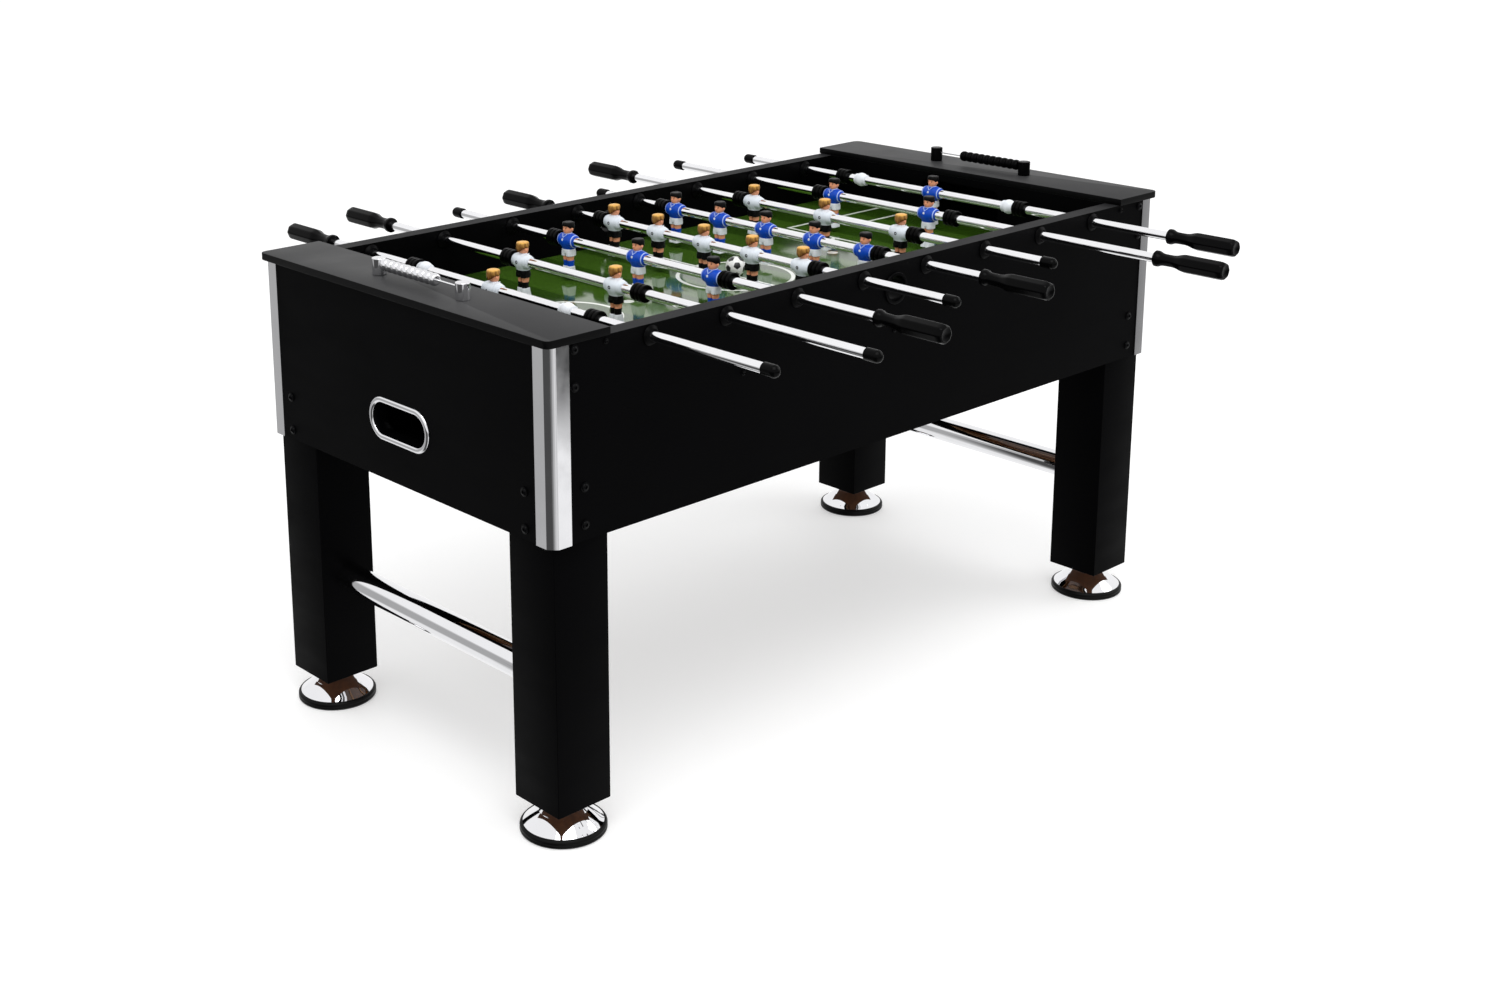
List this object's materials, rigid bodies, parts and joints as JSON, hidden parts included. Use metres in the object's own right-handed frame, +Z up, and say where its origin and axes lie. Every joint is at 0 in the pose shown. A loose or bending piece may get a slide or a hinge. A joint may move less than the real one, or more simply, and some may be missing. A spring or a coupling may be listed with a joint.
{
  "type": "foosball table",
  "caption": "Foosball table: black cabinet on square legs with screw feet, sliding and spinning rods with men, bead scorers, ball returns and a ball.",
  "frame": {"origin": "on the floor under the middle of the cabinet", "axes": "+X along the table towards the right goal, +Y across the table away from the near long side, +Z up"},
  "size_m": [1.474, 1.381, 0.821],
  "materials": {
    "panel": "satin black laminate on board",
    "board": "satin charcoal laminate on board",
    "playfield": "glossy printed film on board",
    "batten": "raw pine",
    "chrome": "polished",
    "rod_chrome": "polished",
    "chrome_plastic": "chrome plated",
    "black_plastic": "satin moulded",
    "black_steel": "black oxide",
    "foot": "polished dome on a black rubber ring",
    "ball": "moulded, lightly used",
    "men_white": "moulded and painted",
    "men_blue": "moulded and painted",
    "bumper_rubber": "matte moulded",
    "handle_rubber": "satin moulded"
  },
  "bodies": {
    "cabinet": {"side_panel_near": "panel", "side_panel_far": "panel", "end_panel_left": "panel", "end_panel_right": "panel", "top_board_left": "board", "top_board_right": "board", "playfield": "playfield", "playfield_battens": "batten", "corner_trims": "chrome", "leg_near_left": "panel", "leg_near_right": "panel", "leg_far_left": "panel", "leg_far_right": "panel", "leg_cross_bars": "chrome", "rod_bearings": "black_plastic", "goal_walls": "panel", "ball_return_cups": "black_plastic", "ball_return_rims": "chrome_plastic", "ball_entry_cups": "black_plastic", "cabinet_fasteners": "black_steel", "scorer_frames": "black_plastic"},
    "beads_left": {"scorer_beads_left": "chrome_plastic"},
    "beads_right": {"scorer_beads_right": "black_plastic"},
    "ball": {"ball": "ball"},
    "foot_near_left": {"leveller_near_left": "foot"},
    "foot_near_right": {"leveller_near_right": "foot"},
    "foot_far_left": {"leveller_far_left": "foot"},
    "foot_far_right": {"leveller_far_right": "foot"},
    "rod_1_bumpers": {"rod_1_bumpers": "bumper_rubber"},
    "rod_1": {"rod_1_tube": "rod_chrome", "rod_1_men": "men_white", "rod_1_handle": "handle_rubber"},
    "rod_2_bumpers": {"rod_2_bumpers": "bumper_rubber"},
    "rod_2": {"rod_2_tube": "rod_chrome", "rod_2_men": "men_white", "rod_2_handle": "handle_rubber"},
    "rod_3_bumpers": {"rod_3_bumpers": "bumper_rubber"},
    "rod_3": {"rod_3_tube": "rod_chrome", "rod_3_men": "men_blue", "rod_3_handle": "handle_rubber"},
    "rod_4_bumpers": {"rod_4_bumpers": "bumper_rubber"},
    "rod_4": {"rod_4_tube": "rod_chrome", "rod_4_men": "men_white", "rod_4_handle": "handle_rubber"},
    "rod_5_bumpers": {"rod_5_bumpers": "bumper_rubber"},
    "rod_5": {"rod_5_tube": "rod_chrome", "rod_5_men": "men_blue", "rod_5_handle": "handle_rubber"},
    "rod_6_bumpers": {"rod_6_bumpers": "bumper_rubber"},
    "rod_6": {"rod_6_tube": "rod_chrome", "rod_6_men": "men_white", "rod_6_handle": "handle_rubber"},
    "rod_7_bumpers": {"rod_7_bumpers": "bumper_rubber"},
    "rod_7": {"rod_7_tube": "rod_chrome", "rod_7_men": "men_blue", "rod_7_handle": "handle_rubber"},
    "rod_8_bumpers": {"rod_8_bumpers": "bumper_rubber"},
    "rod_8": {"rod_8_tube": "rod_chrome", "rod_8_men": "men_blue", "rod_8_handle": "handle_rubber"}
  },
  "joints": [
    {"name": "ball_roll", "type": "slide", "parent": "cabinet", "child": "ball", "axis": [0, 1, 0], "range_m": [-0.318, 0.318]},
    {"name": "beads_left_slide", "type": "slide", "parent": "cabinet", "child": "beads_left", "axis": [0, 1, 0], "range_m": [-0.052, 0]},
    {"name": "beads_right_slide", "type": "slide", "parent": "cabinet", "child": "beads_right", "axis": [0, 1, 0], "range_m": [0, 0.052]},
    {"name": "foot_near_left_screw", "type": "slide", "parent": "cabinet", "child": "foot_near_left", "axis": [0, 0, 1], "range_m": [-0.02, 0]},
    {"name": "foot_near_right_screw", "type": "slide", "parent": "cabinet", "child": "foot_near_right", "axis": [0, 0, 1], "range_m": [-0.02, 0]},
    {"name": "foot_far_left_screw", "type": "slide", "parent": "cabinet", "child": "foot_far_left", "axis": [0, 0, 1], "range_m": [-0.02, 0]},
    {"name": "foot_far_right_screw", "type": "slide", "parent": "cabinet", "child": "foot_far_right", "axis": [0, 0, 1], "range_m": [-0.02, 0]},
    {"name": "rod_1_slide", "type": "slide", "parent": "cabinet", "child": "rod_1_bumpers", "axis": [0, 1, 0], "range_m": [-0.0735, 0.1085]},
    {"name": "rod_1_spin", "type": "hinge", "parent": "rod_1_bumpers", "child": "rod_1", "pos_m": [-0.539, 0, 0.763], "axis": [0, 1, 0], "continuous": true},
    {"name": "rod_2_slide", "type": "slide", "parent": "cabinet", "child": "rod_2_bumpers", "axis": [0, 1, 0], "range_m": [-0.1215, 0.1665]},
    {"name": "rod_2_spin", "type": "hinge", "parent": "rod_2_bumpers", "child": "rod_2", "pos_m": [-0.385, 0, 0.763], "axis": [0, 1, 0], "continuous": true},
    {"name": "rod_3_slide", "type": "slide", "parent": "cabinet", "child": "rod_3_bumpers", "axis": [0, 1, 0], "range_m": [-0.1025, 0.1025]},
    {"name": "rod_3_spin", "type": "hinge", "parent": "rod_3_bumpers", "child": "rod_3", "pos_m": [-0.231, 0, 0.763], "axis": [0, 1, 0], "continuous": true},
    {"name": "rod_4_slide", "type": "slide", "parent": "cabinet", "child": "rod_4_bumpers", "axis": [0, 1, 0], "range_m": [-0.0435, 0.0495]},
    {"name": "rod_4_spin", "type": "hinge", "parent": "rod_4_bumpers", "child": "rod_4", "pos_m": [-0.077, 0, 0.763], "axis": [0, 1, 0], "continuous": true},
    {"name": "rod_5_slide", "type": "slide", "parent": "cabinet", "child": "rod_5_bumpers", "axis": [0, 1, 0], "range_m": [-0.0495, 0.0495]},
    {"name": "rod_5_spin", "type": "hinge", "parent": "rod_5_bumpers", "child": "rod_5", "pos_m": [0.077, 0, 0.763], "axis": [0, 1, 0], "continuous": true},
    {"name": "rod_6_slide", "type": "slide", "parent": "cabinet", "child": "rod_6_bumpers", "axis": [0, 1, 0], "range_m": [-0.1025, 0.1025]},
    {"name": "rod_6_spin", "type": "hinge", "parent": "rod_6_bumpers", "child": "rod_6", "pos_m": [0.231, 0, 0.763], "axis": [0, 1, 0], "continuous": true},
    {"name": "rod_7_slide", "type": "slide", "parent": "cabinet", "child": "rod_7_bumpers", "axis": [0, 1, 0], "range_m": [-0.1455, 0.1665]},
    {"name": "rod_7_spin", "type": "hinge", "parent": "rod_7_bumpers", "child": "rod_7", "pos_m": [0.385, 0, 0.763], "axis": [0, 1, 0], "continuous": true},
    {"name": "rod_8_slide", "type": "slide", "parent": "cabinet", "child": "rod_8_bumpers", "axis": [0, 1, 0], "range_m": [-0.1085, 0.0895]},
    {"name": "rod_8_spin", "type": "hinge", "parent": "rod_8_bumpers", "child": "rod_8", "pos_m": [0.539, 0, 0.763], "axis": [0, 1, 0], "continuous": true}
  ]
}
